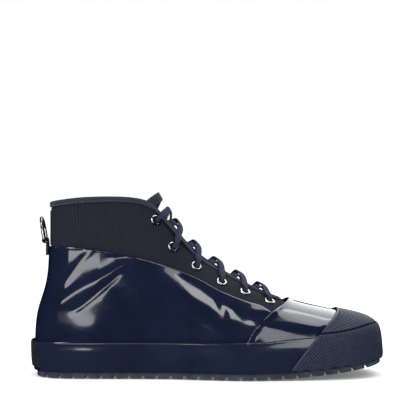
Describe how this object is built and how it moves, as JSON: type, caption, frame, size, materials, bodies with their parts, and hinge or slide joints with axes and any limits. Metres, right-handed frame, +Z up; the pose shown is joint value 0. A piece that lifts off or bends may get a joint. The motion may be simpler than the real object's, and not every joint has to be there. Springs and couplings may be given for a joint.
{
  "type": "deck boot",
  "caption": "Ankle-high laced deck boot: glossy rubber galosh and ribbed toe cap under a canvas collar with metal eyelets and a heel ring",
  "frame": {"origin": "on the ground plane under the middle of the boot's length, on the plane of the heel ring", "axes": "+X toward the toe, +Y toward the medial side, +Z up"},
  "size_m": [0.2959, 0.1056, 0.1526],
  "materials": {
    "rubber_navy": "high gloss varnished vulcanised rubber, dark navy",
    "cap_rubber": "satin moulded rubber with fine diagonal ribs, navy",
    "patch_rubber": "stippled satin rubber, navy",
    "sole_rubber": "matt moulded rubber, near black navy",
    "foam": "closed-cell filler, matt",
    "board": "pressed fibre board, matt",
    "footbed_cloth": "cloth-covered foam, matt",
    "canvas_navy": "ribbed cotton canvas, dark navy",
    "lining_cloth": "plain cotton lining, navy",
    "stiffener": "stiffened fibre sheet, matt",
    "tape_navy": "twill tape, purple navy",
    "tongue_cloth": "padded cotton canvas, dark navy",
    "lace_cord": "flat woven cotton lace, purple navy",
    "tip_plastic": "heat-shrunk tip, navy",
    "plated_steel": "polished nickel plate"
  },
  "bodies": {
    "boot": {"quarter_lateral": "rubber_navy", "quarter_medial": "rubber_navy", "vamp": "rubber_navy", "foxing_strip": "rubber_navy", "toe_cap": "cap_rubber", "heel_patch": "patch_rubber", "outsole": "sole_rubber", "midsole": "foam", "insole_board": "board", "footbed": "footbed_cloth", "canvas_lateral": "canvas_navy", "canvas_medial": "canvas_navy", "backstay": "canvas_navy", "lining_lateral": "lining_cloth", "lining_medial": "lining_cloth", "eyestay_lateral": "stiffener", "eyestay_medial": "stiffener", "heel_counter": "stiffener", "toe_puff": "stiffener", "collar_binding": "tape_navy", "ring_loop": "tape_navy", "lace": "lace_cord", "aglets": "tip_plastic", "eyelets_lateral": "plated_steel", "eyelets_medial": "plated_steel"},
    "tongue_leaf": {"tongue": "tongue_cloth", "tongue_hem": "tape_navy"},
    "ring": {"heel_ring": "plated_steel"}
  },
  "joints": [
    {"name": "tongue_fold", "type": "hinge", "parent": "boot", "child": "tongue_leaf", "pos_m": [0.068, 0, 0.052], "axis": [0, 1, 0], "range_deg": [-14, 0], "stiffness_Nm_per_rad": 0.05},
    {"name": "ring_swing", "type": "hinge", "parent": "boot", "child": "ring", "pos_m": [-0.1362, 0, 0.112], "axis": [0, 1, 0], "range_deg": [-160, 5]}
  ]
}
